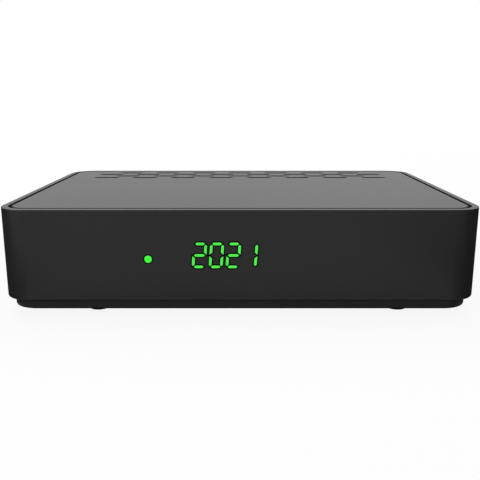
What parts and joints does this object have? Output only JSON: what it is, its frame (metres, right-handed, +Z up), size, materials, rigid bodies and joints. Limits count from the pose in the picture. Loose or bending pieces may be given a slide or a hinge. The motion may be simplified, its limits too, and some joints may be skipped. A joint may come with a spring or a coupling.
{
  "type": "satellite television receiver",
  "caption": "Low black set-top receiver box with rounded corners, inset vented lid, green numeral display, recessed base on rubber feet, rear sockets and a rear rocker power switch.",
  "frame": {"origin": "bottom centre of the whole box at floor level, rear sockets included", "axes": "+X to the right seen from the front, -Y out of the front face, +Z up"},
  "size_m": [0.168, 0.12, 0.0382],
  "materials": {
    "shell_plastic": "satin moulded ABS",
    "foot_rubber": "matt",
    "screw_steel": "zinc plated",
    "panel_paint": "fine black powder coat",
    "circuit_board": "green solder mask",
    "display_plastic": "gloss",
    "lit_green": "lit diffuser",
    "socket_plastic": "moulded",
    "rocker_plastic": "polished",
    "contact_gold": "gold flash",
    "tin_plate": "tin plated",
    "nickel_plate": "bright nickel",
    "insulator_white": "moulded",
    "audio_orange": "moulded",
    "chip_black": "moulded epoxy",
    "thermal_pad": "soft silicone",
    "sink_aluminium": "anodised",
    "capacitor_sleeve": "printed sleeve and bare top",
    "ferrite": "pressed ferrite"
  },
  "bodies": {
    "receiver": {"aerial_nuts": "nickel_plate", "audio_socket_barrel": "nickel_plate", "audio_socket_body": "socket_plastic", "audio_socket_core": "audio_orange", "av_jack": "socket_plastic", "base_tray": "shell_plastic", "board_screws": "screw_steel", "capacitors": "capacitor_sleeve", "case_screws": "screw_steel", "chip_resistors": "chip_black", "crystal": "tin_plate", "display_board": "circuit_board", "display_board_screws": "screw_steel", "display_header": "socket_plastic", "display_module": "display_plastic", "flash_chip": "chip_black", "foot_front_left": "foot_rubber", "foot_front_right": "foot_rubber", "foot_rear_left": "foot_rubber", "foot_rear_right": "foot_rubber", "header_pins": "contact_gold", "heat_sink": "sink_aluminium", "housing": "shell_plastic", "inductors": "ferrite", "infrared_jack": "socket_plastic", "infrared_receiver": "display_plastic", "lit_segments": "lit_green", "lnb_input": "nickel_plate", "lnb_input_insulator": "insulator_white", "lnb_output": "nickel_plate", "lnb_output_insulator": "insulator_white", "main_board": "circuit_board", "memory_chip": "chip_black", "network_contacts": "contact_gold", "network_socket": "socket_plastic", "network_transformer": "chip_black", "power_inlet": "socket_plastic", "power_inlet_pin": "nickel_plate", "power_switch": "socket_plastic", "processor": "chip_black", "rear_panel": "panel_paint", "regulators": "chip_black", "rocker_pin": "screw_steel", "status_led": "lit_green", "status_light_guide": "lit_green", "storage_socket": "tin_plate", "storage_tongue": "socket_plastic", "switch_terminals": "contact_gold", "thermal_pad": "thermal_pad", "top_cover": "shell_plastic", "tuner_can": "tin_plate", "unlit_segments": "shell_plastic", "video_socket": "tin_plate", "video_tongue": "socket_plastic"},
    "rocker": {"power_rocker": "rocker_plastic"}
  },
  "joints": [
    {"name": "power_rocker_tilt", "type": "hinge", "parent": "receiver", "child": "rocker", "pos_m": [0.06215, 0.0494, 0.0195], "axis": [-1, 0, 0], "range_deg": [0, 20]}
  ]
}
